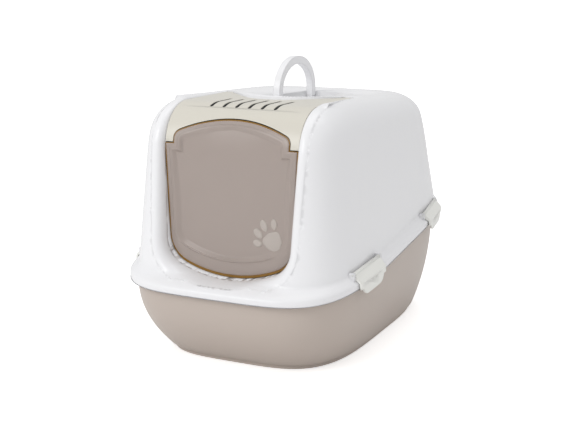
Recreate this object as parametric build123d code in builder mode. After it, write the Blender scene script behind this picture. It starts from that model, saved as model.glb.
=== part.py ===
from build123d import *
from math import cos, pi, radians, sin, sqrt
import os

# Hooded cat litter box: a tray, a lift-off hood held by four side latches, a front panel
# that hinges up on the roof, a swinging door hung in that panel, a carry handle that folds
# into a well in the roof, and an odour filter under the roof vents.
# Millimetres.  +X is the right side, -Y the front, +Z up; the floor is z = 0.

# ---------------------------------------------------------------- overall sizes
overall_length = 560.0  # front to back over the rim
overall_width = 390.0  # side to side over the rim, without the latches
roof_height = 386.7  # roof above the floor, at mid length
rim_height = 150.0  # lower edge of the hood's rim above the floor, at mid length
rim_slope = 0.124  # the rim climbs towards the back
roof_slope = -0.038  # the roof falls towards the back
wall = 2.5  # every moulded wall
seat_gap = 0.3  # between curved faces of pieces that rest together
edge_gap = 1.0  # around the panel

# ---------------------------------------------------------------- tray
foot_height = 6.0  # ring that the tray stands on
foot_width = 4.0
foot_inset = 4.5  # from the foot of the wall
tray_edge_radius = 4.0  # where the floor turns into the wall
base_side_inset = 41.0  # foot of the wall, in from the rim
base_front_inset = 63.5
base_rear_inset = 20.4
base_squareness = 3.87
tray_wall_inset = 10.0  # top of the wall, in from the rim
tray_wall_rise = 8.5  # of the wall's top above the rim's lower edge
tray_belly = 2.2  # how fast the wall steepens on its way up
flange_rise = 5.0  # tray's outward flange, inside the hood's rim
flange_gap = 0.6

# ---------------------------------------------------------------- hood
rim_squareness = 4.2
hood_squareness = 5.27
lip_height = 7.0  # upright part of the rim
shelf_top = 19.0  # where the rim's shelf meets the hood wall
shelf_side = 14.6  # width of the shelf at the sides
shelf_front = 25.0
shelf_rear = 8.0
side_draft = 0.103  # lean of the hood's walls, per millimetre of height
front_draft = 0.092
rear_draft = 0.200
crown_side = 39.4  # rounding of the roof's edges
crown_front = 77.6
crown_front_drop = 66.0
crown_rear = 64.5
crown_rear_drop = 77.0

# ---------------------------------------------------------------- doorway and panel
cheek_width = 69.9  # of the hood beside the doorway, at the roof, from the shelf inwards
door_taper = 7.5  # how much narrower the doorway is at its lower corners
sill_rise = 18.2  # doorway's lowest point above the rim's lower edge at the front
door_bottom_radius = 200.0
door_corner_radius = 45.0
jamb_back = 22.0  # how far the doorway's lining reaches behind the panel's face
cheek_flare = 9.0  # how far the cheeks' inner edges lean back
panel_thickness = 3.0
panel_step = 0.0  # panel's top below the roof at mid length
panel_inset = 49.8  # panel's face behind the front of the rim, at the sill
panel_lean = 0.066
panel_bend_radius = 65.0
shoulder_drop = 57.7  # underside of the panel's ends, below the roof
ledge_clear = 12.0  # from the door's pivot up to the ledge
ledge_width = 7.5  # of the hood, under the panel's edges
ledge_rear = 4.0
nose_radius = 67.6  # tip of the roof behind the panel
nose_corner_inset = 4.5  # panel's rear corners, in from the doorway's side
hinge_back = 20.0  # panel's rear corners, in front of mid length
barrel_radius = 3.6
barrel_length = 14.0
barrel_root = 8.0  # sheet that joins each barrel to the panel
hinge_pin_radius = 2.0
pin_gap = 0.05  # running clearance of every pin, on radius
vent_count = 6
vent_pitch = 21.2
vent_length = 66.0
vent_width = 5.5
vent_back = 145.0  # middle of the vents, in front of mid length

# ---------------------------------------------------------------- door
door_thickness = 3.0
door_side_gap = 2.8
door_sill_gap = 5.0
door_face_step = 1.3  # door's face in front of the panel's, at the bend
door_shoulder = 13.5  # width of each shoulder under the panel's ends
door_arch_rise = 37.0  # crown above the shoulders
door_arch_side_rise = 16.0
door_arch_corner = 12.0
door_arch_gap = 2.2  # between the door's top and the panel
door_axis_rise = 7.0  # pivot above the shoulders
door_axis_back = 6.5  # pivot behind the door's face
door_pin_radius = 2.0
door_pin_reach = 9.5
door_boss_radius = 4.6
door_border = 20.0
door_border_top = 11.0
door_border_side = 14.0
door_dish = 4.2
door_wall = 2.0

# ---------------------------------------------------------------- handle
handle_middle = 3.0  # behind mid length
handle_half_length = 68.0
handle_rise = 68.0  # top above the pivot
handle_leg = 14.0  # straight part of the legs, above the pivot
handle_thickness = 12.0
handle_width = 11.0
handle_pivot_depth = 8.6  # pivot below the roof
handle_pin_radius = 2.5
handle_pin_reach = 3.7
well_gap = 1.5
well_floor_gap = 1.0

# ---------------------------------------------------------------- latches
latch_front = -140.0  # middle of each latch along the box
latch_rear = 150.0
latch_length = 82.0
latch_axis_inset = 8.5  # pivot, in from the outside of the rim
latch_axis_rise = 20.5  # pivot's level, above the rim's lower edge
latch_barrel_radius = 3.0
latch_thickness = 2.9
latch_gap = 0.5  # between the latch and the rim
latch_drop = 11.5  # tab below the rim
latch_tab_trim = 7.0  # tab shorter than the latch, at each end
latch_tab_radius = 15.0
latch_pin_radius = 1.5
latch_lug = 4.0  # thickness of the lugs that hold the pins
latch_lug_gap = 0.4
latch_lug_width = 9.2
latch_lug_height = 12.8
latch_lug_in = 1.8  # middle of a lug, in from the pivot
latch_lug_down = 3.6  # and below it
latch_crown_in = 2.2  # top edge of the latch's front face, rounded off in two steps
latch_crown_rise = 5.4
latch_edge_rise = 1.6
latch_clear = 0.9  # between the latch and the shelf
latch_nose = (1.3, 2.6)  # clear of the lip's rounded top
latch_mark = (28.0, 2.6, 0.9)  # finger mark: length, height, depth
latch_mark_drop = 3.0
hook_length = 40.0
hook_thickness = 2.5
hook_gap = 1.3

# ---------------------------------------------------------------- filter
holder_length = 128.0
holder_depth = 57.0
holder_height = 11.0
holder_wall = 1.8
holder_back = 136.5  # middle of the holder, in front of mid length
holder_catch = 2.0
filter_gap = 0.3
filter_height = 7.0
holder_slots = 7

# ---------------------------------------------------------------- worked out
rim_side = overall_width / 2
rim_end = overall_length / 2
hood_side = rim_side - shelf_side
door_half = hood_side - cheek_width
sill_height = rim_height - rim_slope * rim_end + sill_rise
panel_top = roof_height - panel_step
shoulder_height = roof_height - shoulder_drop
door_axis_height = shoulder_height + door_axis_rise
far = 2 * (overall_length + overall_width)

os.makedirs("parts", exist_ok=True)


def finish(node, name):
    """Labels a sub-part and writes it."""
    node.part.label = name
    export_step(node.part, f"parts/{name}.step")


# ================================================================ level outlines
def level_slope(height):
    """Slope of the level surface at this height: flat floor, climbing rim, falling roof."""
    if height < rim_height:
        return rim_slope * max(height - foot_height, 0) / (rim_height - foot_height)
    share = (height - rim_height) / (roof_height - rim_height)
    return rim_slope + (roof_slope - rim_slope) * share


def outline(height, side, front, rear, squareness, points=40):
    """A rounded rectangle (a superellipse) on the level surface at this height."""
    slope = level_slope(height)
    stretch = sqrt(1 + slope * slope)
    level = Plane(origin=(0, 0, height), x_dir=(1, 0, 0), z_dir=(0, -slope, 1))
    middle = (front + rear) / 2
    half = (rear - front) / 2
    corners = []
    for i in range(points):
        turn = 2 * pi * i / points
        turn += 0.1 * sin(4 * turn)  # more points where the corners are
        reach = (abs(cos(turn)) ** squareness + abs(sin(turn)) ** squareness) ** (-1 / squareness)
        corners.append((side * reach * cos(turn), (middle + half * reach * sin(turn)) * stretch))
    with BuildSketch(level) as sketch:
        with BuildLine():
            Spline(*corners, periodic=True)
        make_face()
    return sketch.sketch


def rounding(distance, radius):
    """How far a rounded edge stands in, at a distance from the corner."""
    if distance >= radius:
        return 0.0
    return radius - sqrt(radius**2 - (radius - distance) ** 2)


def tray_outline(height, inset=0.0):
    """The tray's wall; inset is the wall's thickness on the inside."""
    share = min(max((height - foot_height) / (rim_height - foot_height), 0), 1)
    up = 1 - (1 - share) ** tray_belly
    edge = inset + rounding(height - foot_height - inset, tray_edge_radius)
    side = rim_side - base_side_inset + (base_side_inset - tray_wall_inset) * up - edge
    front = -rim_end + base_front_inset - (base_front_inset - tray_wall_inset) * up + edge
    rear = rim_end - base_rear_inset + (base_rear_inset - tray_wall_inset) * up - edge
    squareness = base_squareness + (rim_squareness - base_squareness) * up
    return outline(height, side, front, rear, squareness)


def rim_outline(height, offset):
    """The rim's outline, moved out by offset."""
    return outline(height, rim_side + offset, -rim_end - offset, rim_end + offset, rim_squareness)


def crown(height, width, drop, inset):
    """How far the roof's rounded edge stands in at this height."""
    share = min(max((height + inset - roof_height + drop) / drop, 0), 1)
    return (width - inset) * (1 - sqrt(1 - share * share))


def hood_outline(height, inset=0.0):
    """The hood's skin: upright lip, shelf, leaning walls and rounded roof edges."""
    step = (height + inset - rim_height - lip_height) / (shelf_top - lip_height)
    step = min(max(step, 0), 1)
    shelf = step * step * (3 - 2 * step)
    above = max(height - rim_height - shelf_top, 0)
    side = rim_side - shelf_side * shelf - side_draft * above
    front = -rim_end + shelf_front * shelf + front_draft * above
    rear = rim_end - shelf_rear * shelf - rear_draft * above
    side -= inset + crown(height, crown_side, crown_side, inset)
    front += inset + crown(height, crown_front, crown_front_drop, inset)
    rear -= inset + crown(height, crown_rear, crown_rear_drop, inset)
    squareness = rim_squareness + (hood_squareness - rim_squareness) * shelf
    return outline(height, side, front, rear, squareness)


# ================================================================ tray
tray_levels = [foot_height + rise for rise in (0, 0.8, 2.2, tray_edge_radius, 16, 34, 58, 86, 115)]
tray_levels += [rim_height, rim_height + tray_wall_rise]
basin_levels = [foot_height + wall + rise for rise in (0, 0.8, 2.2, tray_edge_radius, 14, 32, 56, 84, 113)]
basin_levels += [rim_height, rim_height + tray_wall_rise + 1]
flange_levels = [rim_height, rim_height + flange_rise]
groove_levels = [rim_height - 1, rim_height + flange_rise - wall]

with BuildPart() as tray:
    # flange: a skirt inside the hood's rim
    loft(sections=[rim_outline(level, -wall - flange_gap) for level in flange_levels])
    groove = [rim_outline(level, -2 * wall - flange_gap) for level in groove_levels]
    loft(sections=groove, mode=Mode.SUBTRACT)
    # bellied wall and floor
    loft(sections=[tray_outline(level) for level in tray_levels], ruled=True)
    loft(sections=[tray_outline(level, wall) for level in basin_levels], ruled=True, mode=Mode.SUBTRACT)
    # ring that it stands on
    ring = [
        outline(
            0,
            rim_side - base_side_inset - inset,
            -rim_end + base_front_inset + inset,
            rim_end - base_rear_inset - inset,
            base_squareness,
        )
        for inset in (foot_inset, foot_inset + foot_width)
    ]
    extrude(ring[0], amount=foot_height)
    extrude(ring[1], amount=foot_height, mode=Mode.SUBTRACT)

finish(tray, "tray")


# ================================================================ doorway shapes
def doorway(grow=0.0, raised=0.0):
    """The doorway seen from the front, grown by a margin, with an open top."""
    top = roof_height + crown_side
    corner_height = sill_height + door_bottom_radius - sqrt(door_bottom_radius**2 - door_low**2)
    with BuildSketch(Plane.XZ) as face:
        with BuildLine():
            ThreePointArc((-door_low, corner_height), (0, sill_height), (door_low, corner_height))
            Polyline(
                (door_low, corner_height),
                (door_half, shoulder_height),
                (door_half, top),
                (-door_half, top),
                (-door_half, shoulder_height),
                (-door_low, corner_height),
            )
        make_face()
        fillet(face.vertices().group_by(Axis.Y)[0], radius=door_corner_radius)
        if grow:
            offset(amount=grow, kind=Kind.INTERSECTION)
    return face.sketch.moved(Location((0, 0, raised)))


def front_strip(low, high, half):
    """A rectangle seen from the front."""
    with BuildSketch(Plane.XZ) as face:
        with Locations((0, (low + high) / 2)):
            Rectangle(2 * half, high - low)
    return face.sketch


def arch(grow=0.0):
    """The door's arched top above its shoulders, seen from the front."""
    with BuildSketch(Plane.XZ) as face:
        with BuildLine():
            base = shoulder_height - door_thickness
            side = shoulder_height + door_arch_side_rise
            crown_point = shoulder_height + door_arch_rise
            Polyline((-arch_half, side), (-arch_half, base), (arch_half, base), (arch_half, side))
            ThreePointArc((-arch_half, side), (0, crown_point), (arch_half, side))
        make_face()
        fillet(face.vertices().group_by(Axis.Y)[-1], radius=door_arch_corner)
        if grow:
            offset(amount=grow)
    return face.sketch


def through(face, front, back):
    """A front-view face carried from one depth to another."""
    with BuildPart() as solid:
        extrude(face.moved(Location((0, back, 0))), amount=back - front)
    return solid.part


def side_solid(points, corner, radius, half):
    """A side-view outline with one rounded corner, carried from side to side."""
    with BuildSketch(Plane.YZ) as region:
        with BuildLine():
            Polyline(*points, close=True)
        make_face()
        fillet(region.vertices().sort_by_distance(corner)[0], radius=radius)
    with BuildPart() as solid:
        extrude(region.sketch, amount=half, both=True)
    return solid.part


def in_front(depth):
    """Everything in front of and above the panel's face, moved in by a depth."""
    run = panel_top - sill_height
    corner = (panel_face_low + panel_lean * run + depth, panel_top - depth)
    low = (panel_face_low - panel_lean * sill_height + depth, 0)
    points = [low, corner, (far, panel_top - depth), (far, far), (-far, far), (-far, 0)]
    return side_solid(points, corner, panel_bend_radius - depth, overall_width)


def before_door(depth):
    """Everything in front of the hanging door's face, moved in by a depth."""
    top = bend_middle + panel_bend_radius - depth
    corner = (door_face + depth, top)
    points = [(door_face + depth, 0), corner, (far, top), (far, far), (-far, far), (-far, 0)]
    return side_solid(points, corner, panel_bend_radius - depth, overall_width)


def roof_nose(grow=0.0):
    """The part of the roof behind the panel, whose rounded nose points forward."""
    tip = -hinge_back - nose_corner
    with BuildSketch() as shape:
        with BuildLine():
            Polyline(
                (-far, -hinge_back),
                (-nose_corner, -hinge_back),
                (0, tip),
                (nose_corner, -hinge_back),
                (far, -hinge_back),
                (far, far),
                (-far, far),
                close=True,
            )
        make_face()
        fillet(shape.vertices().sort_by_distance((0, tip))[0], radius=nose_radius)
        if grow:
            offset(amount=grow, kind=Kind.INTERSECTION)
    with BuildPart() as solid:
        extrude(shape.sketch, amount=far)
    return solid.part


def block(x, y, z):
    """A box between two values on each axis."""
    with BuildPart() as solid:
        with Locations(((x[0] + x[1]) / 2, (y[0] + y[1]) / 2, (z[0] + z[1]) / 2)):
            Box(x[1] - x[0], y[1] - y[0], z[1] - z[0])
    return solid.part


def bar(radius, ends, depth, height):
    """A round bar along X."""
    with BuildPart() as solid:
        with BuildSketch(Plane.YZ.offset(ends[0])):
            with Locations((depth, height)):
                Circle(radius)
        extrude(amount=ends[1] - ends[0])
    return solid.part


# ================================================================ hinge places
door_low = door_half - door_taper
arch_half = door_half - door_side_gap - door_shoulder
nose_corner = door_half - nose_corner_inset
panel_face_low = -rim_end + panel_inset  # panel's face at the sill
panel_half = door_half - edge_gap
panel_axis_depth = -hinge_back - edge_gap - barrel_radius
panel_axis_height = panel_top - barrel_radius
barrel = (panel_half - barrel_length, panel_half)
bend_middle = panel_top - panel_bend_radius  # height of the bend's centre
door_face = panel_face_low + panel_lean * (bend_middle - sill_height) - door_face_step
door_axis_depth = door_face + door_axis_back
handle_axis_height = roof_height - handle_pivot_depth
front_edge = -rim_end - 10
seat = panel_thickness + seat_gap
ledge_start = door_axis_height + ledge_clear

# ================================================================ hood
hood_rises = [0, lip_height, 9, 11.5, 14.5, 17, shelf_top, 23, 34, 60, 100]
crown_turns = [8, 22, 35, 48, 60, 71, 80, 86]
hood_levels = [rim_height + rise for rise in hood_rises]
hood_levels += [roof_height - crown_front_drop - 8, roof_height - crown_front_drop + 8]
hood_levels += [roof_height - crown_side * (1 - sin(radians(turn))) for turn in crown_turns]
hood_levels += [roof_height]
cavity_levels = [rim_height - 1] + [rim_height + rise - wall for rise in hood_rises[1:]]
cavity_levels += [level - wall for level in hood_levels[len(hood_rises):]]


def flare(grow=0.0):
    """Room that the cheeks' inner edges leave as they lean back from the doorway."""
    back = panel_face_low + 2 * cheek_flare
    with BuildPart() as solid:
        with BuildSketch(Plane.XY.offset(sill_height + door_corner_radius - grow)):
            with BuildLine():
                Polyline(
                    (0, back + grow),
                    (door_half, back + grow),
                    (door_half + cheek_flare + grow, front_edge),
                    (0, front_edge),
                    close=True,
                )
            make_face()
        extrude(amount=far)
        mirror(about=Plane.YZ)
        add(in_front(grow), mode=Mode.INTERSECT)
    return solid.part


def recess(grow=0.0):
    """Room for the panel and the door, grown by the wall for the lining."""
    with BuildPart() as solid:
        add(through(doorway(grow), front_edge, grow))
        add(in_front(seat + grow), mode=Mode.INTERSECT)
        add(flare(grow))
        add(roof_nose(-grow), mode=Mode.SUBTRACT)
    return solid.part


def well(grow=0.0):
    """Room for the folded handle, grown by the wall for the well's own walls."""
    margin = well_gap + grow
    floor = handle_axis_height - handle_width / 2 - well_floor_gap - grow
    left = -handle_width / 2 - margin
    length = 2 * (handle_half_length + margin)
    with BuildPart() as solid:
        with BuildSketch(Plane.XY.offset(floor)):
            with Locations((handle_leg, handle_middle)):
                Ellipse(handle_rise - handle_leg + margin, handle_half_length + margin)
            with Locations((handle_leg + far / 2, handle_middle)):
                Rectangle(far, length, mode=Mode.INTERSECT)
            with Locations(((left + handle_leg) / 2, handle_middle)):
                Rectangle(handle_leg - left, length)
        extrude(amount=far)
    return solid.part


def latch_frame(along, side_on=False):
    """Plane at the middle of a right-hand latch's pivot: X outwards, Y up, or side-on."""
    share = abs(along) / rim_end
    edge = rim_side * (1 - share**rim_squareness) ** (1 / rim_squareness)
    turn = (rim_side / rim_end) * share ** (rim_squareness - 1)
    turn /= (edge / rim_side) ** (rim_squareness - 1)
    turn *= 1 if along > 0 else -1
    out = Vector(1, turn, 0).normalized()
    tangent = Vector(-turn, 1, level_slope(rim_height + lip_height)).normalized()
    level = rim_height + latch_axis_rise
    origin = Vector(edge, along, level + level_slope(level) * along)
    origin -= out * latch_axis_inset
    if side_on:
        return Plane(origin=origin, x_dir=tangent, z_dir=out)
    return Plane(origin=origin, x_dir=out, z_dir=-tangent)


def latch_level(along, rise):
    """A level of the hood at a latch, measured up from the latch's pivot."""
    level = rim_height + rise
    pivot = rim_height + latch_axis_rise
    return level + level_slope(level) * along - pivot - level_slope(pivot) * along


lug_start = latch_length / 2 + latch_lug_gap
hinge_lug = 5.0

with BuildPart() as cavity:
    loft(sections=[hood_outline(level, wall) for level in cavity_levels])
    add(recess(wall), mode=Mode.SUBTRACT)
    add(well(wall), mode=Mode.SUBTRACT)
    # lugs for the panel's hinge pins, under the roof
    for side in (1, -1):
        lug_x = sorted((side * (door_half - wall), side * (door_half + hinge_lug)))
        lug_y = (panel_axis_depth - hinge_lug, panel_axis_depth + hinge_lug)
        lug_z = (panel_axis_height - hinge_lug, roof_height + 10)
        add(block(lug_x, lug_y, lug_z), mode=Mode.SUBTRACT)

def span(side, low, high):
    """Two X values on the right (1) or the left (-1), lowest first."""
    return tuple(sorted((side * low, side * high)))


def hinge_pocket(side):
    """Room around a barrel of the panel's hinge."""
    room = barrel_radius + edge_gap / 2
    x = span(side, barrel[0] - edge_gap, door_half)
    y = (panel_axis_depth - barrel_root - edge_gap, panel_axis_depth + room)
    return block(x, y, (panel_axis_height - room, roof_height + 10))


panel_axis = (panel_axis_depth, panel_axis_height)
door_axis = (door_axis_depth, door_axis_height)

# opening under the panel, inside its ledge
with BuildPart() as opening:
    add(block((-door_half + ledge_width, door_half - ledge_width), (front_edge, 0), (ledge_start - 10, roof_height + 10)))
    add(roof_nose(ledge_rear), mode=Mode.SUBTRACT)
roof_opening = opening.part

# lining that runs back from the doorway's edge
with BuildPart() as lining:
    add(through(doorway(wall) & front_strip(0, ledge_start, far), front_edge, panel_face_low + jamb_back))
    add(through(doorway(), front_edge, 0), mode=Mode.SUBTRACT)
    add(in_front(seat), mode=Mode.SUBTRACT)
door_lining = lining.part

# lugs for the latches' pins, on the rim's shelf
with BuildPart() as latch_lugs:
    for along in (latch_front, latch_rear):
        for start in (lug_start, -lug_start - latch_lug):
            with BuildSketch(latch_frame(along).offset(start)):
                with Locations((-latch_lug_in, -latch_lug_down)):
                    Rectangle(latch_lug_width, latch_lug_height)
                Circle(latch_pin_radius + pin_gap, mode=Mode.SUBTRACT)
            extrude(amount=latch_lug)
    mirror(about=Plane.YZ)

with BuildPart() as hood:
    loft(sections=[hood_outline(level) for level in hood_levels])
    add(latch_lugs.part)
    add(recess(), mode=Mode.SUBTRACT)
    add(well(), mode=Mode.SUBTRACT)
    add(cavity.part, mode=Mode.SUBTRACT)
    # doorway, and the opening under the panel
    add(through(doorway() & front_strip(0, ledge_start, door_half), front_edge, 0), mode=Mode.SUBTRACT)
    add(roof_opening, mode=Mode.SUBTRACT)
    # lining of the doorway
    add(door_lining)
    # pockets and holes for the panel's hinges
    for side in (1, -1):
        add(hinge_pocket(side), mode=Mode.SUBTRACT)
        add(bar(hinge_pin_radius + pin_gap, span(side, door_half - 1, door_half + hinge_lug + 1), *panel_axis), mode=Mode.SUBTRACT)
    # holes for the handle's pins
    with Locations(Location((0, handle_middle, handle_axis_height), (90, 0, 0))):
        Cylinder(handle_pin_radius + pin_gap, 2 * (handle_half_length + well_gap + wall) + 2, mode=Mode.SUBTRACT)

finish(hood, "hood")


# ================================================================ front panel
holder_top = panel_top - panel_thickness - 1.5
holder_floor = holder_top - holder_height
catch = holder_length / 2 + seat_gap

with BuildPart() as front_panel:
    panel_face = front_strip(shoulder_height + door_arch_gap, roof_height + crown_side, panel_half)
    add(through(panel_face, front_edge, 0))
    add(in_front(panel_thickness), mode=Mode.INTERSECT)
    add(roof_nose(edge_gap), mode=Mode.SUBTRACT)
    add(block((-far, far), (panel_axis_depth, 0), (0, far)), mode=Mode.SUBTRACT)
    # barrels of the roof hinges, with their pins
    root_y = (panel_axis_depth - barrel_root, panel_axis_depth)
    for side in (1, -1):
        add(block(span(side, *barrel), root_y, (panel_top - panel_thickness, panel_top)))
        add(bar(barrel_radius, span(side, *barrel), *panel_axis))
        add(bar(hinge_pin_radius, span(side, barrel[0], door_half + hinge_lug - 1), *panel_axis))
        # ears that carry the door
        add(bar(door_boss_radius + 0.4, span(side, arch_half + door_arch_gap, panel_half - 2), *door_axis))
        # catches for the filter holder
        catch_y = (-holder_back - 12, -holder_back + 12)
        add(block(span(side, catch, catch + holder_catch), catch_y, (holder_floor - seat_gap - 1.2, panel_top - 1)))
        lip_z = (holder_floor - seat_gap - 1.2, holder_floor - seat_gap)
        add(block(span(side, catch - holder_catch, catch + holder_catch), catch_y, lip_z))
    add(in_front(0), mode=Mode.SUBTRACT)
    # arched cut-out over the door
    add(through(arch(door_arch_gap), front_edge, 0), mode=Mode.SUBTRACT)
    for side in (1, -1):
        reach = arch_half + door_pin_reach + seat_gap
        add(bar(door_pin_radius + pin_gap, span(side, arch_half, reach), *door_axis), mode=Mode.SUBTRACT)
    # vents
    with BuildSketch(Plane.XY.offset(roof_height - crown_side)):
        with Locations((0, -vent_back)):
            with GridLocations(vent_pitch, 1, vent_count, 1):
                SlotOverall(vent_length, vent_width, rotation=90)
    extrude(amount=2 * crown_side, mode=Mode.SUBTRACT)

finish(front_panel, "front_panel")


# ================================================================ swinging door
def door_face_outline(inset=0.0, sill=0.0):
    """The door seen from the front: doorway shape below the shoulders, arch above."""
    lower = doorway(-door_side_gap - inset, door_sill_gap - door_side_gap + sill)
    lower = lower & front_strip(0, shoulder_height - inset, door_half)
    return lower + arch(-inset)


with BuildPart() as swing_door:
    add(through(door_face_outline(), front_edge, 0))
    add(before_door(door_thickness), mode=Mode.INTERSECT)
    # dished middle
    with BuildPart(mode=Mode.PRIVATE) as dish:
        add(through(door_face_outline(door_border_side, door_border - door_border_side), front_edge, 0))
        add(before_door(door_thickness + door_dish), mode=Mode.INTERSECT)
    add(dish.part)
    add(before_door(0), mode=Mode.SUBTRACT)
    with BuildPart(mode=Mode.PRIVATE) as hollow:
        inset = door_border_side + door_wall
        add(through(door_face_outline(inset, door_border - door_border_side), front_edge, 0))
        add(before_door(door_dish), mode=Mode.INTERSECT)
    add(hollow.part, mode=Mode.SUBTRACT)
    for side in (1, -1):
        add(bar(door_boss_radius, span(side, arch_half - 5, arch_half), *door_axis))
        add(bar(door_pin_radius, span(side, arch_half - 5, arch_half + door_pin_reach), *door_axis))

finish(swing_door, "swing_door")


# ================================================================ carry handle
with BuildPart() as carry_handle:
    top = handle_axis_height + handle_leg
    foot = handle_axis_height - handle_width / 2
    inner_length = handle_half_length - handle_thickness
    inner_rise = handle_rise - handle_leg - handle_thickness
    with BuildSketch(Plane.YZ):
        with Locations((handle_middle, top)):
            Ellipse(handle_half_length, handle_rise - handle_leg)
        with Locations((handle_middle, top + handle_rise / 2)):
            Rectangle(2 * handle_half_length, handle_rise, mode=Mode.INTERSECT)
        with Locations((handle_middle, (foot + top) / 2)):
            Rectangle(2 * handle_half_length, top - foot)
        with Locations((handle_middle, top)):
            Ellipse(inner_length, inner_rise, mode=Mode.SUBTRACT)
        with Locations((handle_middle, (foot + top) / 2)):
            Rectangle(2 * inner_length, top - foot, mode=Mode.SUBTRACT)
    extrude(amount=handle_width / 2, both=True)
    fillet(carry_handle.edges().filter_by(Axis.Y).group_by(Axis.Z)[0], radius=handle_width / 2 - 0.1)
    with Locations(Location((0, handle_middle, handle_axis_height), (90, 0, 0))):
        Cylinder(handle_pin_radius, 2 * (handle_half_length + handle_pin_reach))
    with Locations((0, handle_middle, handle_axis_height)):
        Box(handle_width + 2, 2 * inner_length, handle_width + 2, mode=Mode.SUBTRACT)

finish(carry_handle, "carry_handle")

# ================================================================ side latches
lip_out = latch_axis_inset + latch_gap
tab_out = lip_out + latch_thickness
mid_out = latch_axis_inset - shelf_side / 2
hook_reach = wall + latch_gap - flange_gap
mark_length, mark_height, mark_depth = latch_mark

for end, along in (("front", latch_front), ("rear", latch_rear)):
    lip_top = latch_level(along, lip_height)
    mid_up = latch_level(along, (lip_height + shelf_top) / 2)
    rim_low = latch_level(along, 0)
    tab_low = rim_low - latch_drop
    with BuildPart() as latch:
        # hook-shaped section along the rim
        with BuildSketch(latch_frame(along)):
            with BuildLine():
                Polyline(
                    (0, latch_barrel_radius),
                    (tab_out - latch_crown_in, lip_top + latch_crown_rise),
                    (tab_out, lip_top + latch_edge_rise),
                    (tab_out, tab_low),
                    (lip_out, tab_low),
                    (lip_out, lip_top + seat_gap),
                    (lip_out - latch_nose[0], lip_top + latch_nose[1]),
                    (mid_out, mid_up + latch_clear),
                    (0, -latch_barrel_radius),
                    close=True,
                )
            make_face()
            Circle(latch_barrel_radius)
        extrude(amount=latch_length / 2, both=True)
        # rounded tab below the rim
        with BuildSketch(latch_frame(along, side_on=True)) as tab:
            with Locations((0, (tab_low + lip_top) / 2)):
                Rectangle(latch_length - 2 * latch_tab_trim, lip_top - tab_low)
            fillet(tab.vertices().group_by(Axis.Y)[0], radius=latch_tab_radius)
            with Locations((0, (rim_low + 2 * latch_barrel_radius) / 2)):
                Rectangle(latch_length, 2 * latch_barrel_radius - rim_low)
        extrude(amount=2 * tab_out, both=True, mode=Mode.INTERSECT)
        # hook under the rim
        with BuildSketch(latch_frame(along)):
            with Locations((lip_out - hook_reach / 2, rim_low - hook_gap - hook_thickness / 2)):
                Rectangle(hook_reach, hook_thickness)
        extrude(amount=hook_length / 2, both=True)
        # pivot pins
        with BuildSketch(latch_frame(along)):
            Circle(latch_pin_radius)
        extrude(amount=lug_start + latch_lug, both=True)
        # finger mark
        with BuildSketch(latch_frame(along, side_on=True).offset(tab_out)):
            with Locations((0, lip_top - latch_mark_drop)):
                SlotOverall(mark_length, mark_height)
        extrude(amount=-mark_depth, mode=Mode.SUBTRACT)
    finish(latch, f"latch_{end}_right")
    with BuildPart() as latch_mirrored:
        add(mirror(latch.part, about=Plane.YZ, mode=Mode.PRIVATE))
    finish(latch_mirrored, f"latch_{end}_left")


# ================================================================ odour filter
with BuildPart() as filter_holder:
    with Locations((0, -holder_back, holder_floor + holder_height / 2)):
        Box(holder_length, holder_depth, holder_height)
    with Locations((0, -holder_back, holder_floor + holder_wall + holder_height / 2)):
        Box(holder_length - 2 * holder_wall, holder_depth - 2 * holder_wall, holder_height, mode=Mode.SUBTRACT)
    slot_pitch = (holder_length - 6 * holder_wall) / holder_slots
    with BuildSketch(Plane.XY.offset(holder_floor)):
        with Locations((0, -holder_back)):
            with GridLocations(slot_pitch, 1, holder_slots, 1):
                SlotOverall(holder_depth - 8 * holder_wall, slot_pitch - 2 * holder_wall, rotation=90)
    extrude(amount=holder_wall, mode=Mode.SUBTRACT)

finish(filter_holder, "filter_holder")

with BuildPart() as carbon_filter:
    with Locations((0, -holder_back, holder_floor + holder_wall + filter_height / 2)):
        margin = 2 * (holder_wall + filter_gap)
        Box(holder_length - margin, holder_depth - margin, filter_height)

finish(carbon_filter, "carbon_filter")
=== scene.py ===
from math import atan2, cos, hypot, pi, radians, sin, sqrt

import bmesh
import bpy
from mathutils import Matrix, Vector


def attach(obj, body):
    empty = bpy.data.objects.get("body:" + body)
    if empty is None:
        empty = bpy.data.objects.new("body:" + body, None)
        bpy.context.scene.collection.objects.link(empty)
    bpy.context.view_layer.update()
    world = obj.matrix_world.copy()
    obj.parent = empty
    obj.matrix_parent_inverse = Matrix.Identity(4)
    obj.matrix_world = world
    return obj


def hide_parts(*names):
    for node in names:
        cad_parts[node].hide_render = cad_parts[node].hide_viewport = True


bl_info = {
    "name": "Hooded Litter Box",
    "version": (1, 0, 0),
    "blender": (4, 5, 0),
    "location": "View3D > Sidebar > Litter Box",
    "description": "Builds the looks of a hooded cat litter box on its CAD frame",
    "category": "Object",
}

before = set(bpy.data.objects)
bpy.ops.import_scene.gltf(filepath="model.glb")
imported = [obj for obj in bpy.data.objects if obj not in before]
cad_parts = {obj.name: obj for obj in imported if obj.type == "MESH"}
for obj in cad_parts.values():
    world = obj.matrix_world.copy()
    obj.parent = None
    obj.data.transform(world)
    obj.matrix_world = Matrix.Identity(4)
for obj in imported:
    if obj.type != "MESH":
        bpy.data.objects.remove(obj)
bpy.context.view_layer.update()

MM = 0.001

# level family of the mouldings: flat floor, climbing rim, falling roof (millimetres)
FOOT_HEIGHT = 6.0
RIM_HEIGHT = 150.0
ROOF_HEIGHT = 386.7
RIM_SLOPE = 0.124
ROOF_SLOPE = -0.038
RIM_SIDE = 195.0
RIM_END = 280.0
RIM_SQUARENESS = 4.2
WALL = 2.5

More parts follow.
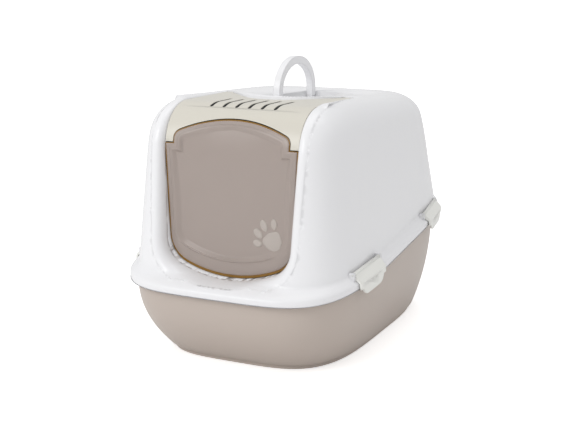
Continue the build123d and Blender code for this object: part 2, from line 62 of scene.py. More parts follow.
# foot of the tray's wall, in from the rim (millimetres)
BASE_SIDE = 41.0
BASE_FRONT = 63.5
BASE_REAR = 20.4
BASE_SQUARENESS = 3.87
TRAY_INSET = 10.0  # top of the wall, in from the rim
TRAY_BELLY = 2.2  # how fast the wall steepens on its way up

# doorway and door (millimetres)
DOOR_HALF = 110.5
SILL = 133.5
SHOULDER = 329.0
DOOR_FACE = -219.08
BEND_MIDDLE = 321.7
BEND_RADIUS = 65.0
ARCH_HALF = 94.2
ARCH_SIDE = 16.0
ARCH_RISE = 37.0
DOOR_AXIS = (-212.58, 336.0)


# ---------------------------------------------------------------- settings
def colour_property(name, description, value):
    return bpy.props.FloatVectorProperty(
        name=name, description=description, subtype="COLOR", size=3, min=0, max=1, default=srgb(value)
    )


def length_property(name, description, value, low=0.0, high=0.1):
    return bpy.props.FloatProperty(
        name=name,
        description=description,
        default=value,
        min=low,
        max=high,
        subtype="DISTANCE",
        unit="LENGTH",
    )


def srgb(value):
    """A hex colour as linear red, green and blue."""
    parts = [int(value[i : i + 2], 16) / 255 for i in (1, 3, 5)]
    return tuple(v / 12.92 if v <= 0.04045 else ((v + 0.055) / 1.055) ** 2.4 for v in parts)


class LitterBoxColours(bpy.types.PropertyGroup):
    """Colours of the mouldings"""

    hood: colour_property("Hood", "White of the hood and the handle", "#EFEFF1")
    tray: colour_property("Tray", "Greige of the tray", "#BFB3AA")
    panel: colour_property("Panel", "Pale greige of the front panel", "#D5D1C6")
    door: colour_property("Door", "Smoked tone of the see-through door", "#CBBDB5")
    paw: colour_property("Paw", "Frosted tone of the paw shape", "#E2D8D0")
    # dark amber: partly the tinted edge's own tone, partly painted shade for the gap round the door
    amber_and_gap_shade: colour_property("Door edge", "Amber of the door's edge, seen in the gap round it", "#8A6420")
    latch: colour_property("Latches", "Off-white of the side latches", "#EFEFEA")
    # black of the carbon foam; the same colour is also the painted shade in the strips under the vents
    foam: colour_property("Filter", "Black of the carbon foam", "#1B1B1D")


class LitterBoxSizes(bpy.types.PropertyGroup):
    """Sizes of the soft details"""

    edge: length_property("Edge radius", "Rounding of the mouldings' edges", 0.0012, 0.0, 0.004)
    door_wall: length_property("Door wall", "Thickness of the door", 0.003, 0.001, 0.006)
    dish: length_property("Door dish", "How deep the door's middle is", 0.0042, 0.0, 0.008)


class LitterBoxStudio(bpy.types.PropertyGroup):
    """Light of the studio"""

    key: bpy.props.FloatProperty(
        name="Key light",
        description="Power of the light in front",
        default=23.0,
        min=0,
        max=1000,
        unit="POWER",
    )
    sky: bpy.props.FloatProperty(
        name="Surround", description="Brightness of the white surround", default=0.7, min=0, max=10
    )


# ---------------------------------------------------------------- nodes and materials
def put(tree, kind, settings=(), values=(), links=()):
    """Adds one node: its settings, its inputs' values and its inputs' links, by name or number."""
    node = tree.nodes.new(kind)
    for name, value in dict(settings).items():
        setattr(node, name, value)
    for key, value in dict(values).items():
        node.inputs[key].default_value = value
    for key, source in dict(links).items():
        tree.links.new(source, node.inputs[key])
    return node


def moulded(name, colour, roughness, grain, relief, edge, spread=0.05, **extra):
    """An injection-moulded plastic: fine mould texture, slightly uneven gloss and rounded edges.

    grain is the size of the mould texture in metres and relief its depth.
    """
    material = bpy.data.materials.new(name)
    material.use_nodes = True
    tree = material.node_tree
    tree.nodes.clear()
    place = put(tree, "ShaderNodeTexCoord")
    at = {"Vector": place.outputs["Object"]}
    texture = put(tree, "ShaderNodeTexNoise", values={"Scale": 1 / grain, "Detail": 2.0}, links=at)
    broad = put(tree, "ShaderNodeTexNoise", values={"Scale": 14.0, "Detail": 2.0}, links=at)
    gloss = put(
        tree,
        "ShaderNodeMapRange",
        values={"To Min": roughness - spread / 2, "To Max": roughness + spread / 2},
        links={"Value": broad.outputs["Fac"]},
    )
    rounded = put(tree, "ShaderNodeBevel", settings={"samples": 6}, values={"Radius": edge})
    bump = put(
        tree,
        "ShaderNodeBump",
        values={"Strength": 0.35, "Distance": relief},
        links={"Height": texture.outputs["Fac"], "Normal": rounded.outputs["Normal"]},
    )
    shader = put(
        tree,
        "ShaderNodeBsdfPrincipled",
        values={"Base Color": (*colour, 1.0), "IOR": 1.49, **extra},
        links={"Roughness": gloss.outputs["Result"], "Normal": bump.outputs["Normal"]},
    )
    put(tree, "ShaderNodeOutputMaterial", links={"Surface": shader.outputs["BSDF"]})
    return material


def polypropylene(name, colour, edge, roughness=0.3):
    """Moulded polypropylene: waxy satin gloss over a faint texture from the mould."""
    return moulded(name, colour, roughness, 0.0016, 0.00004, edge)


def smoked_plastic(name, colour, edge):
    """Tinted see-through plastic: what lies behind shows as a soft blur."""
    extra = {"Transmission Weight": 0.42}
    return moulded(name, colour, 0.3, 0.002, 0.00003, edge, **extra)


def carbon_foam_and_shade(name, colour):
    """Open-cell foam soaked in active carbon: matt black with pores about a millimetre wide. The same black
    also serves as painted shade in the strips under the vents.
    """
    material = bpy.data.materials.new(name)
    material.use_nodes = True
    tree = material.node_tree
    tree.nodes.clear()
    place = put(tree, "ShaderNodeTexCoord")
    at = {"Vector": place.outputs["Object"]}
    pores = put(tree, "ShaderNodeTexVoronoi", values={"Scale": 800.0}, links=at)
    bump = put(
        tree,
        "ShaderNodeBump",
        values={"Strength": 0.8, "Distance": 0.0006},
        links={"Height": pores.outputs["Distance"]},
    )
    shader = put(
        tree,
        "ShaderNodeBsdfPrincipled",
        values={"Base Color": (*colour, 1.0), "Roughness": 0.95},
        links={"Normal": bump.outputs["Normal"]},
    )
    put(tree, "ShaderNodeOutputMaterial", links={"Surface": shader.outputs["BSDF"]})
    return material


# ---------------------------------------------------------------- meshes
def level_slope(height):
    """Slope of the level surface at a height."""
    if height < RIM_HEIGHT:
        return RIM_SLOPE * max(height - FOOT_HEIGHT, 0) / (RIM_HEIGHT - FOOT_HEIGHT)
    return RIM_SLOPE + (ROOF_SLOPE - RIM_SLOPE) * (height - RIM_HEIGHT) / (ROOF_HEIGHT - RIM_HEIGHT)


def outline(height, side, front, rear, squareness, points=240):
    """Points round a rounded rectangle on the level surface at a height, in metres."""
    slope = level_slope(height)
    middle = (front + rear) / 2
    half = (rear - front) / 2
    ring = []
    for i in range(points):
        turn = 2 * pi * i / points
        turn += 0.1 * sin(4 * turn)
        reach = (abs(cos(turn)) ** squareness + abs(sin(turn)) ** squareness) ** (-1 / squareness)
        y = middle + half * reach * sin(turn)
        ring.append(Vector((side * reach * cos(turn), y, height + slope * y)) * MM)
    return ring


def stacked(rings, name):
    """A closed mesh through rings of points, each end closed at its own middle."""
    mesh = bmesh.new()
    rows = [[mesh.verts.new(point) for point in ring] for ring in rings]
    count = len(rings[0])
    for low, high in zip(rows, rows[1:]):
        for i in range(count):
            j = (i + 1) % count
            mesh.faces.new((low[i], low[j], high[j], high[i]))
    for row, ring in ((rows[0], rings[0]), (rows[-1], rings[-1])):
        middle = mesh.verts.new(sum(ring, Vector()) / count)
        for i in range(count):
            mesh.faces.new((row[i], row[(i + 1) % count], middle))
    bmesh.ops.remove_doubles(mesh, verts=mesh.verts, dist=1e-6)
    bmesh.ops.recalc_face_normals(mesh, faces=mesh.faces)
    return as_object(mesh, name)


def as_object(mesh, name, angle=32):
    """A new object from a bmesh, smooth but for its sharp edges."""
    data = bpy.data.meshes.new(name)
    mesh.to_mesh(data)
    mesh.free()
    obj = bpy.data.objects.new(name, data)
    bpy.context.scene.collection.objects.link(obj)
    data.shade_smooth()
    data.set_sharp_from_angle(angle=radians(angle))
    return obj


def copy_of(node, name):
    """A merged copy of a CAD node's mesh, with its near-flat faces joined and smooth shading."""
    mesh = bmesh.new()
    mesh.from_mesh(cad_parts[node].data)
    bmesh.ops.remove_doubles(mesh, verts=mesh.verts, dist=2e-6)
    return as_object(mesh, name, 28)


def finish(obj, material, body, slot, *nodes):
    """Gives a piece its finish, its body and the CAD nodes that it stands for."""
    obj.data.materials.clear()
    obj.data.materials.append(material)
    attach(obj, body)
    if nodes:
        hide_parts(*nodes)


def settings():
    scene = bpy.context.scene
    return scene.litter_box_colours, scene.litter_box_sizes


# ---------------------------------------------------------------- tray
def rounding(distance, radius):
    """How far a rounded edge stands in, at a distance from the corner."""
    if distance >= radius:
        return 0.0
    return radius - sqrt(radius**2 - (radius - max(distance, 0)) ** 2)


def tray_ring(height, inset=0.0):
    """One ring of the tray's bellied wall."""
    share = min(max((height - FOOT_HEIGHT) / (RIM_HEIGHT - FOOT_HEIGHT), 0), 1)
    up = 1 - (1 - share) ** TRAY_BELLY
    edge = inset + rounding(height - FOOT_HEIGHT - inset, 4.0)
    return outline(
        height,
        RIM_SIDE - BASE_SIDE + (BASE_SIDE - TRAY_INSET) * up - edge,
        -RIM_END + BASE_FRONT - (BASE_FRONT - TRAY_INSET) * up + edge,
        RIM_END - BASE_REAR + (BASE_REAR - TRAY_INSET) * up - edge,
        BASE_SQUARENESS + (RIM_SQUARENESS - BASE_SQUARENESS) * up,
    )


def foot_ring(height, inset):
    side, front, rear = RIM_SIDE - BASE_SIDE, -RIM_END + BASE_FRONT, RIM_END - BASE_REAR
    return outline(height, side - inset, front + inset, rear - inset, BASE_SQUARENESS)


def rim_ring(height, inset):
    return outline(height, RIM_SIDE - inset, -RIM_END + inset, RIM_END - inset, RIM_SQUARENESS)


class LITTERBOX_OT_tray(bpy.types.Operator):
    """Make the tray: bellied basin on a narrow foot ring, with its flange"""

    bl_idname = "litter_box.tray"
    bl_label = "Tray"

    def execute(self, context):
        colours, sizes = settings()
        rings = [foot_ring(FOOT_HEIGHT, 8.5), foot_ring(0.3, 8.5), foot_ring(0.0, 8.2)]
        rings += [foot_ring(0.0, 4.8), foot_ring(0.3, 4.5), foot_ring(FOOT_HEIGHT, 4.5)]
        rings += [tray_ring(FOOT_HEIGHT + rise) for rise in (0, 0.15, 0.5, 1.0, 1.8, 2.8, 4.0)]
        rings += [tray_ring(FOOT_HEIGHT + 4 + (RIM_HEIGHT - FOOT_HEIGHT - 4) * i / 24) for i in range(1, 25)]
        rings += [tray_ring(152.4), rim_ring(152.4, 5.6), rim_ring(150.2, 5.6), rim_ring(150.0, 5.4)]
        rings += [rim_ring(150.0, 3.4), rim_ring(150.2, 3.15), rim_ring(154.7, 3.15), rim_ring(155.0, 3.4)]
        rings += [tray_ring(155.0), tray_ring(158.2), tray_ring(158.5, 0.3), tray_ring(158.5, 2.2)]
        rings += [tray_ring(158.2, WALL)]
        rings += [tray_ring(FOOT_HEIGHT + 6.5 + 143.5 * i / 24, WALL) for i in range(24, 0, -1)]
        rings += [tray_ring(FOOT_HEIGHT + WALL + rise, WALL) for rise in (4.0, 2.8, 1.8, 1.0, 0.5, 0.15, 0)]
        tray = stacked(rings, "tray_basin")
        material = polypropylene("Greige polypropylene", colours.tray, sizes.edge, 0.34)
        finish(tray, material, "tray", "tray_plastic", "tray")
        return {"FINISHED"}


# ---------------------------------------------------------------- hood
LIP_HEIGHT = 7.0  # upright part of the rim
SHELF_TOP = 19.0  # where the rim's shelf meets the wall, above the rim's lower edge
SHELF_SIDE = 14.6
SHELF_FRONT = 25.0
SHELF_REAR = 8.0
SIDE_DRAFT = 0.103  # lean of the walls, per millimetre of height
FRONT_DRAFT = 0.092
REAR_DRAFT = 0.2
CROWN_SIDE = (39.4, 39.4)  # width and drop of the roof's rounded edges
CROWN_FRONT = (77.6, 66.0)
CROWN_REAR = (64.5, 77.0)
HOOD_SQUARENESS = 5.27
PANEL_INSET = 49.8  # panel's face behind the front of the rim, at the sill
PANEL_LEAN = 0.066
BEND_DEPTH = -152.8  # centre of the panel's bend
EDGE_SINK = 1.5  # hood's inner edge, behind the panel's face
ROUND_WIDTH = 17.0  # of the rounding beside the doorway
SILL_WIDTH = 4.0  # of the rounding at the doorway's lowest point
REAR_WIDTH = 6.0  # of the rounding at the panel's rear corner
SHELL = 2.2
BED = 0.4  # how much deeper the cut goes than the rounding
PANEL_REAR = -24.0


def crown(height, width, drop):
    """How far the roof's rounded edge stands in at a height."""
    share = min(max((height - ROOF_HEIGHT + drop) / drop, 0), 1)
    return width * (1 - sqrt(1 - share * share))


def skin_depth(x, level):
    """Where the hood's front skin lies at this x on a level."""
    shelf = soft_step((level - RIM_HEIGHT - LIP_HEIGHT) / (SHELF_TOP - LIP_HEIGHT))
    above = max(level - RIM_HEIGHT - SHELF_TOP, 0)
    side = RIM_SIDE - SHELF_SIDE * shelf - SIDE_DRAFT * above - crown(level, *CROWN_SIDE)
    front = -RIM_END + SHELF_FRONT * shelf + FRONT_DRAFT * above + crown(level, *CROWN_FRONT)
    rear = RIM_END - SHELF_REAR * shelf - REAR_DRAFT * above - crown(level, *CROWN_REAR)
    squareness = RIM_SQUARENESS + (HOOD_SQUARENESS - RIM_SQUARENESS) * shelf
    reach = (1 - min(abs(x) / side, 1) ** squareness) ** (1 / squareness)
    return (front + rear) / 2 - (rear - front) / 2 * reach


def solved(measure, goal):
    """The level where a rising measure reaches its goal."""
    low, high = RIM_HEIGHT, ROOF_HEIGHT
    for _ in range(30):
        middle = (low + high) / 2
        if measure(middle) < goal:
            low = middle
        else:
            high = middle
    return (low + high) / 2


def skin_height(x, level):
    return level + level_slope(level) * skin_depth(x, level)


def doorway_stations():
    """Sections round the doorway, from its lowest point to the panel's rear right corner.

    Each is a width, a function that places a point at a distance from the doorway's edge and
    a height over it, and a function for the height of the hood's skin there.
    """
    stations = []
    points = [p for p in leaf(-2.8, SILL, 200.0, 45.0, 0.0)[:66] if p[1] <= BEND_MIDDLE - 4]
    for i, (x, z) in enumerate(points):
        before, after = points[max(i - 1, 0)], points[min(i + 1, len(points) - 1)]
        way = Vector((after[0] - before[0], after[1] - before[1])).normalized()
        out = (way.y, -way.x) if i else (0.0, -1.0)
        edge = -RIM_END + PANEL_INSET + PANEL_LEAN * (z - SILL) + EDGE_SINK

        def place(s, high, x=x, z=z, out=out, edge=edge):
            return Vector((x + out[0] * s, edge - high, z + out[1] * s))

        def skin(s, place=place, edge=edge):
            at = place(s, 0)
            level = solved(lambda value: skin_height(at.x, value), at.z)
            return edge - skin_depth(at.x, level)

        width = SILL_WIDTH + (ROUND_WIDTH - SILL_WIDTH) * soft_step((x - 40) / 50)
        stations.append((width, place, skin))
    for i in range(1, 15):
        turn = radians(90 * i / 15)
        start = BEND_RADIUS - EDGE_SINK

        def place(s, high, turn=turn, start=start):
            r = start + high
            return Vector((DOOR_HALF + s, BEND_DEPTH - r * cos(turn), BEND_MIDDLE + r * sin(turn)))

        def skin(s, turn=turn, start=start):
            x = DOOR_HALF + s

            def angle(level):
                return atan2(skin_height(x, level) - BEND_MIDDLE, BEND_DEPTH - skin_depth(x, level))

            if angle(ROOF_HEIGHT - 0.01) > turn:
                level = solved(angle, turn)
                high = hypot(skin_height(x, level) - BEND_MIDDLE, BEND_DEPTH - skin_depth(x, level))
            else:
                high = (BEND_RADIUS + ROOF_SLOPE * BEND_DEPTH) / (sin(turn) + ROOF_SLOPE * cos(turn))
            return high - start

        stations.append((ROUND_WIDTH, place, skin))
    for i in range(18):
        y = BEND_DEPTH + (PANEL_REAR - BEND_DEPTH) * i / 17

        def place(s, high, y=y):
            return Vector((DOOR_HALF + s, y, ROOF_HEIGHT - EDGE_SINK + high))

        def skin(s, y=y):
            return EDGE_SINK + ROOF_SLOPE * y

        stations.append((ROUND_WIDTH - (ROUND_WIDTH - REAR_WIDTH) * i / 17, place, skin))
    return stations


def doorway_rows(section):
    """Rows for a section drawn at every station, mirrored to the left."""
    right = [[point * MM for point in section(*station)] for station in doorway_stations()]
    left = [[Vector((-point.x, point.y, point.z)) for point in row] for row in right[:0:-1]]
    return left + right


ROUND = [radians(90 * i / 12) for i in range(13)]


def rounded_edge(width, place, skin):
    """Outer face of the rounding: from the doorway's edge up and out to the hood's skin."""
    return [place(width * (1 - cos(a)), skin(width * (1 - cos(a))) * sin(a)) for a in ROUND]


def sunk_edge(width, place, skin, depth):
    """The rounding, sunk by a depth."""
    points = []
    for a in ROUND:
        s = width * (1 - cos(a))
        points.append(place(s + depth * cos(a), skin(s) * sin(a) - depth * sin(a)))
    return points


def cut_section(width, place, skin):
    """What is cut away over the rounding, and a little more."""
    return [place(-1.5, 0)] + sunk_edge(width, place, skin, BED) + [place(width, 40), place(-1.5, 40)]


def shell_section(width, place, skin):
    """A wall whose outer face is the rounding."""
    return rounded_edge(width, place, skin) + sunk_edge(width, place, skin, SHELL)[::-1]


def combine(obj, tool, operation):
    """obj with the tool's volume taken out or added."""
    step = obj.modifiers.new("combine", "BOOLEAN")
    step.operation = operation
    step.solver = "MANIFOLD"
    step.object = tool
    bpy.context.view_layer.update()
    result = bpy.data.meshes.new_from_object(obj.evaluated_get(bpy.context.evaluated_depsgraph_get()))
    obj.modifiers.remove(step)
    obj.data = result
    bpy.data.objects.remove(tool)


class LITTERBOX_OT_hood(bpy.types.Operator):
    """Make the hood: glossy white shell with its upright rim and cheeks"""

    bl_idname = "litter_box.hood"
    bl_label = "Hood"

    def execute(self, context):
        colours, sizes = settings()
        hood = copy_of("hood", "hood_cut")
        combine(hood, stacked(doorway_rows(cut_section), "doorway_cut"), "DIFFERENCE")
        combine(hood, stacked(doorway_rows(shell_section), "doorway_edge"), "UNION")
        hood = joined([hood], "hood_shell")
        material = polypropylene("White polypropylene", colours.hood, 2 * sizes.edge, 0.25)
        finish(hood, material, "hood", "hood_plastic", "hood")
        return {"FINISHED"}


# ---------------------------------------------------------------- front panel
VENT_MIDDLE = -145.0
VENT_LENGTH = 66.0
VENT_WIDTH = 5.5


def repeated(obj, material, name, count, pitch):
    """The object's mesh repeated along X about its middle, with Geometry Nodes."""
    tree = bpy.data.node_groups.new(name, "GeometryNodeTree")
    for label, kind in (("Geometry", "Geometry"), ("Count", "Int"), ("Pitch", "Float")):
        tree.interface.new_socket(label, in_out="INPUT", socket_type="NodeSocket" + kind)
    tree.interface.new_socket("Geometry", in_out="OUTPUT", socket_type="NodeSocketGeometry")
    given = put(tree, "NodeGroupInput")
    gaps = put(tree, "ShaderNodeMath", {"operation": "SUBTRACT"}, {1: 1.0}, {0: given.outputs["Count"]})
    factors = {0: gaps.outputs[0], 1: given.outputs["Pitch"]}
    span = put(tree, "ShaderNodeMath", {"operation": "MULTIPLY"}, links=factors)
    first = put(tree, "ShaderNodeMath", {"operation": "MULTIPLY"}, {1: -0.5}, {0: span.outputs[0]})
    start = put(tree, "ShaderNodeCombineXYZ", links={"X": first.outputs[0]})
    stride = put(tree, "ShaderNodeCombineXYZ", links={"X": given.outputs["Pitch"]})
    line = put(
        tree,
        "GeometryNodeMeshLine",
        links={
            "Count": given.outputs["Count"],
            "Start Location": start.outputs["Vector"],
            "Offset": stride.outputs["Vector"],
        },
    )
    copies = put(
        tree,
        "GeometryNodeInstanceOnPoints",
        links={"Points": line.outputs["Mesh"], "Instance": given.outputs["Geometry"]},
    )
    real = put(tree, "GeometryNodeRealizeInstances", links={"Geometry": copies.outputs["Instances"]})
    dressed = put(
        tree,
        "GeometryNodeSetMaterial",
        values={"Material": material},
        links={"Geometry": real.outputs["Geometry"]},
    )
    put(tree, "NodeGroupOutput", links={"Geometry": dressed.outputs["Geometry"]})
    step = obj.modifiers.new(name, "NODES")
    step.node_group = tree
    sockets = {item.name: item.identifier for item in tree.interface.items_tree if item.in_out == "INPUT"}
    step[sockets["Count"]] = count
    step[sockets["Pitch"]] = pitch
    bpy.context.view_layer.update()
    result = bpy.data.meshes.new_from_object(obj.evaluated_get(bpy.context.evaluated_depsgraph_get()))
    obj.modifiers.remove(step)
    obj.data = result


def vent_shade_strip():
    """One dark strip that follows the panel's bend just under a vent: painted shade, standing for the shadow
    seen down the slot.
    """
    rows = []
    for i in range(17):
        y = VENT_MIDDLE + (VENT_LENGTH - 1.0) * (i / 16 - 0.5)
        bend = BEND_RADIUS - sqrt(BEND_RADIUS**2 - min(y - BEND_DEPTH, 0) ** 2)
        top = ROOF_HEIGHT - bend - 0.9
        half = VENT_WIDTH / 2 + 0.2
        corners = ((-half, top), (half, top), (half, top - 0.6), (-half, top - 0.6))
        rows.append([Vector((x, y, z)) * MM for x, z in corners])
    return stacked(rows, "vent_shade_strip")


class LITTERBOX_OT_panel(bpy.types.Operator):
    """Make the front panel: pale bent sheet with six vents"""

    bl_idname = "litter_box.panel"
    bl_label = "Front panel"

    def execute(self, context):
        colours, sizes = settings()
        panel = copy_of("front_panel", "panel_sheet")
        material = polypropylene("Pale greige polypropylene", colours.panel, sizes.edge, 0.32)
        finish(panel, material, "panel", "panel_plastic", "front_panel")
        # dark strips under the vents in the foam's black: painted shade, standing for the shadow inside the
        # slots
        dark = carbon_foam_and_shade("Painted shade under the vents", colours.foam)
        strips = vent_shade_strip()
        repeated(strips, dark, "Vent shade strips", 6, 21.2 * MM)
        finish(strips, dark, "panel", "filter_foam")
        return {"FINISHED"}


# ---------------------------------------------------------------- door
DOOR_CENTRE = (0.0, 250.0)
SIDE_FOOT = (100.203, 164.386)  # a point on the door's right edge, which leans outwards
SIDE_LEAN = (0.04488, 0.99899)
DOOR_EDGE = ((0.0, -1.0), (0.35, -0.35), (1.1, 0.0))  # rounded edge: inset and height


def arc(centre, radius, start, end, count):
    """Points along an arc in the door's face, angles in radians."""
    steps = [start + (end - start) * i / count for i in range(count + 1)]
    return [(centre[0] + radius * cos(a), centre[1] + radius * sin(a)) for a in steps]


def leaf(inset, low, bottom, corner, top):
    """The door's outline in its face, from the lowest point up the right side and down the left."""
    inward = (-SIDE_LEAN[1], SIDE_LEAN[0])
    foot = [SIDE_FOOT[i] + inward[i] * inset for i in (0, 1)]
    start = [foot[i] + inward[i] * corner - (0, low + bottom)[i] for i in (0, 1)]
    along = start[0] * SIDE_LEAN[0] + start[1] * SIDE_LEAN[1]
    reach = start[0] ** 2 + start[1] ** 2 - (bottom - corner) ** 2
    run = -along - sqrt(along**2 - reach)
    middle = (start[0] + SIDE_LEAN[0] * run, start[1] + SIDE_LEAN[1] * run + low + bottom)
    turn = atan2(middle[1] - low - bottom, middle[0])
    points = arc((0, low + bottom), bottom, -pi / 2, turn, 36)
    points += arc(middle, corner, turn, atan2(-inward[1], -inward[0]), 14)[1:]
    end = (SHOULDER - inset - points[-1][1]) / SIDE_LEAN[1]
    side = points[-1]
    for i in range(1, 17):
        points.append((side[0] + SIDE_LEAN[0] * end * i / 16, side[1] + SIDE_LEAN[1] * end * i / 16))
    edge = ARCH_HALF - inset
    points += [(points[-1][0] + (edge - points[-1][0]) * i / 4, points[-1][1]) for i in (1, 2, 3, 4)]
    span = (ARCH_HALF**2 + (ARCH_RISE - ARCH_SIDE) ** 2) / (2 * (ARCH_RISE - ARCH_SIDE)) - top
    base = SHOULDER + ARCH_RISE - top - span
    soft = 12.0 - inset / 2
    rise = base + sqrt((span - soft) ** 2 - (edge - soft) ** 2)
    points += [(edge, points[-1][1] + (rise - points[-1][1]) * i / 4) for i in (1, 2, 3)]
    turn = atan2(rise - base, edge - soft)
    points += arc((edge - soft, rise), soft, 0, turn, 8)
    points += arc((0, base), span, turn, pi / 2, 30)[1:]
    return points + [(-x, z) for x, z in points[-2:0:-1]]


def reach_at(outline_points, angle):
    """Distance from the door's middle to its outline in one direction."""
    way = (cos(angle), sin(angle))
    best = None
    count = len(outline_points)
    for i in range(count):
        p = [outline_points[i][k] - DOOR_CENTRE[k] for k in (0, 1)]
        q = [outline_points[(i + 1) % count][k] - DOOR_CENTRE[k] for k in (0, 1)]
        cross_p = way[0] * p[1] - way[1] * p[0]
        cross_q = way[0] * q[1] - way[1] * q[0]
        if cross_p * cross_q > 0 or cross_p == cross_q:
            continue
        share = cross_p / (cross_p - cross_q)
        x, z = (p[k] + (q[k] - p[k]) * share for k in (0, 1))
        distance = x * way[0] + z * way[1]
        if distance > 0 and (best is None or distance > best):
            best = distance
    return best


def on_leaf(x, z, proud):
    """A point of the door in metres: proud of its bent face by so many millimetres."""
    turn = max((z - BEND_MIDDLE) / BEND_RADIUS, 0)
    back = BEND_RADIUS * (1 - sqrt(1 - turn * turn))
    y = DOOR_FACE + back - proud * sqrt(1 - turn * turn)
    return Vector((x, y, z + proud * turn)) * MM


def soft_step(value):
    value = min(max(value, 0), 1)
    return value * value * (3 - 2 * value)


def door_rows(outer, inner, wall, dish):
    """Rings over the door's face, then over its back: edge, border, rib, slope and dish."""
    angles = sorted({round(atan2(z - DOOR_CENTRE[1], x), 5) for x, z in outer + inner})
    spokes = [(angle, reach_at(outer, angle), reach_at(inner, angle)) for angle in angles]

    def row(distance, proud):
        ring = []
        for angle, far, near in spokes:
            r = distance(far, near, angle)
            x, z = DOOR_CENTRE[0] + r * cos(angle), DOOR_CENTRE[1] + r * sin(angle)
            ring.append(on_leaf(x, z, proud(x, z)))
        return ring

    def slope(share):
        return lambda far, near, angle: near - share * (4.5 + 7.0 * abs(cos(angle)))

    def rib(height):
        def proud(x, z):
            taper = soft_step((86 - abs(x + 6)) / 22) if z < 215 else 0
            return height * taper

        return proud

    front = [row(lambda far, near, a, s=s: far - s, lambda x, z, d=d: d) for s, d in DOOR_EDGE]
    for share, height in ((0.2, 0.1), (0.5, 0.35), (0.75, 0.3)):
        front.append(row(lambda far, near, a, s=share: far + (near - far) * s, lambda x, z, d=height: d))
    for offset, height in ((2.6, 0.1), (1.7, 0.7), (0.9, 1.5), (0.2, 1.6), (-0.5, 1.3)):
        front.append(row(lambda far, near, a, s=offset: near + s, rib(height)))
    for share in (0.12, 0.3, 0.5, 0.7, 0.85, 1.0):
        front.append(row(slope(share), lambda x, z, d=dish * soft_step(share): -d))
    back = [row(lambda far, near, a, s=s: far - s, lambda x, z, d=d: -wall - d) for s, d in DOOR_EDGE]
    for share in (0.12, 0.4, 0.7, 1.0):
        back.append(row(slope(share), lambda x, z, d=dish * soft_step(share): -d - wall))
    for share in (0.8, 0.6, 0.4, 0.2, 0.05):
        front.append(row(lambda far, near, a, s=share: (near - 12) * s, lambda x, z: -dish))
        back.append(row(lambda far, near, a, s=share: (near - 12) * s, lambda x, z: -dish - wall))
    return front[::-1] + back


def rod(mesh, radius, start, end, depth, height):
    """A round rod along X, in millimetres, added to a bmesh."""
    middle = Vector(((start + end) / 2, depth, height)) * MM
    place = Matrix.Translation(middle) @ Matrix.Rotation(pi / 2, 4, "Y")
    bmesh.ops.create_cone(
        mesh,
        cap_ends=True,
        segments=24,
        radius1=radius * MM,
        radius2=radius * MM,
        depth=abs(end - start) * MM,
        matrix=place,
    )


def looped(rows, name):
    """A closed mesh through rows of points, the last row joined to the first."""
    mesh = bmesh.new()
    grid = [[mesh.verts.new(point) for point in row] for row in rows]
    count = len(rows[0])
    for low, high in zip(grid, grid[1:] + grid[:1]):
        for i in range(count):
            j = (i + 1) % count
            mesh.faces.new((low[i], low[j], high[j], high[i]))
    bmesh.ops.recalc_face_normals(mesh, faces=mesh.faces)
    return as_object(mesh, name)


def joined(objects, name):
    """Several meshes as one object."""
    mesh = bmesh.new()
    for obj in objects:
        mesh.from_mesh(obj.data)
        data = obj.data
        bpy.data.objects.remove(obj)
        bpy.data.meshes.remove(data)
    return as_object(mesh, name)


# paw shape, in the door's face: middle, half width, half height, tilt in degrees
PAW_TOES = (
    ((69.6, 220.8), 4.9, 7.8, 4),
    ((53.2, 217.2), 5.4, 9.0, 22),
    ((43.8, 204.8), 5.8, 8.6, 46),
    ((42.8, 190.2), 5.4, 7.2, 78),
)
PAW_PAD = ((67.6, 195.0), 15.4, 14.4, 32)
# share of the shape's size and height, from the edge to the middle
PAW_CUSHION = ((1.0, -0.6), (1.0, 0.1), (0.96, 0.5), (0.88, 0.8), (0.7, 1.0), (0.35, 1.1), (0.04, 1.1))


def paw_piece(middle, wide, high, tilt, dish, lobes=0.0):
    """One shallow cushion of the paw: an ellipse, or the pad with its three lobes."""
    rows = []
    for share, proud in PAW_CUSHION:
        ring = []
        for i in range(48):
            a = 2 * pi * i / 48
            swell = 1 + lobes * (cos(3 * a - pi / 2) - 0.45 * cos(6 * a))
            x, z = wide * share * swell * cos(a), high * share * swell * sin(a)
            t = radians(tilt)
            across, up = x * cos(t) - z * sin(t), x * sin(t) + z * cos(t)
            ring.append(on_leaf(middle[0] + across, middle[1] + up, proud - dish))
        rows.append(ring)
    return stacked(rows, "paw_part")


